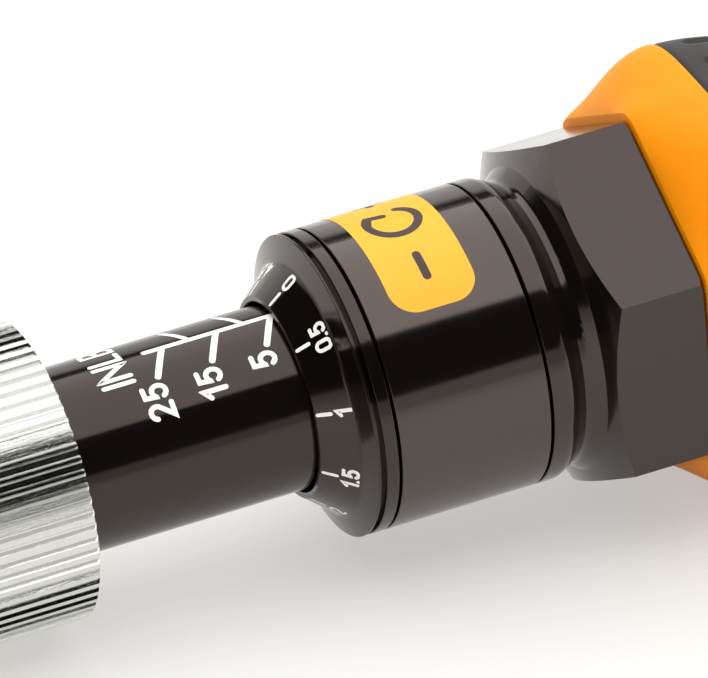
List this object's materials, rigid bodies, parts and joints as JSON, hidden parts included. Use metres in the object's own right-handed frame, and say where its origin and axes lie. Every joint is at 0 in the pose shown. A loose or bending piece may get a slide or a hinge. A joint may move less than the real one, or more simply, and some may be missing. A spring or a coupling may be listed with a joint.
{
  "type": "torque screwdriver",
  "caption": "Adjustable torque screwdriver: black graduated barrel and scale thimble, knurled front ring, hexagon body and an orange-nosed ribbed handle, with a slipping ball clutch.",
  "frame": {"origin": "centre of the bit socket's mouth, on the tool's axis", "axes": "+X along the axis from the bit socket to the handle's end cap, +Z towards the index line on the barrel; the tool lies with its axis level"},
  "size_m": [0.205, 0.044, 0.0418],
  "materials": {
    "polished_steel": "bright satin chrome",
    "spindle_steel": "ground and nickel plated",
    "cap_steel": "turned",
    "bronze": "sintered bronze",
    "hardened_steel": "hardened and ground",
    "ball_steel": "polished",
    "magnet": "nickel plated",
    "black_oxide": "black oxide",
    "black_barrel": "gloss black anodised",
    "black_thimble": "gloss black anodised",
    "black_sleeve": "gloss black anodised",
    "black_adjuster": "gloss black anodised",
    "spring_steel": "oiled spring wire",
    "seal_rubber": "moulded",
    "orange_plastic": "moulded, fine texture",
    "grip_rubber": "moulded, ribbed",
    "cap_plastic": "moulded"
  },
  "bodies": {
    "spindle": {"spindle": "spindle_steel", "bit_clip": "spring_steel", "bit_magnet": "magnet"},
    "barrel_frame": {"front_bush": "bronze", "front_cap": "cap_steel", "grip_ring": "polished_steel", "thrust_washer": "hardened_steel", "guide_pins": "hardened_steel", "flange_screws": "black_oxide", "barrel": "black_barrel", "stop_ring": "spring_steel", "torque_spring": "spring_steel"},
    "clutch": {"clutch_balls": "ball_steel", "clutch_plate": "hardened_steel"},
    "seat": {"spring_seat": "hardened_steel", "thrust_ball": "ball_steel"},
    "adjuster": {"calibration_screw": "black_oxide", "calibration_nut": "hardened_steel", "scale_ring": "black_thimble", "lock_spring": "spring_steel", "sleeve_seal": "seal_rubber", "adjuster_body": "black_adjuster", "handle_pins": "hardened_steel", "handle_core": "orange_plastic", "handle_grip": "grip_rubber", "end_cap": "cap_plastic"},
    "sleeve": {"lock_sleeve": "black_sleeve"},
    "pin": {"lock_pin": "hardened_steel"}
  },
  "joints": [
    {"name": "clutch_slip", "type": "hinge", "parent": "barrel_frame", "child": "spindle", "pos_m": [0.024, 0, 0], "axis": [1, 0, 0], "continuous": true},
    {"name": "clutch_lift", "type": "slide", "parent": "barrel_frame", "child": "clutch", "axis": [1, 0, 0], "range_m": [0, 0.00125], "stiffness_N_per_m": 2000, "springref_m": -0.002},
    {"name": "seat_travel", "type": "slide", "parent": "barrel_frame", "child": "seat", "axis": [1, 0, 0], "range_m": [-0.01121, 0], "deforming": ["torque_spring"]},
    {"name": "handle_turn", "type": "hinge", "parent": "seat", "child": "adjuster", "pos_m": [0.0813, 0, 0], "axis": [-1, 0, 0], "range_deg": [0, 1440]},
    {"name": "sleeve_lock", "type": "hinge", "parent": "adjuster", "child": "sleeve", "pos_m": [0.074, 0, 0], "axis": [-1, 0, 0], "range_deg": [0, 30]},
    {"name": "lock_pin_travel", "type": "slide", "parent": "adjuster", "child": "pin", "axis": [0, 0, 1], "range_m": [0, 0.000601], "deforming": ["lock_spring"]}
  ],
  "couplings": [
    {"joint": "seat_travel", "follows": "handle_turn", "m_per_rad": -0.00044563},
    {"joint": "lock_pin_travel", "follows": "sleeve_lock", "m_per_rad": 0.0011459}
  ]
}
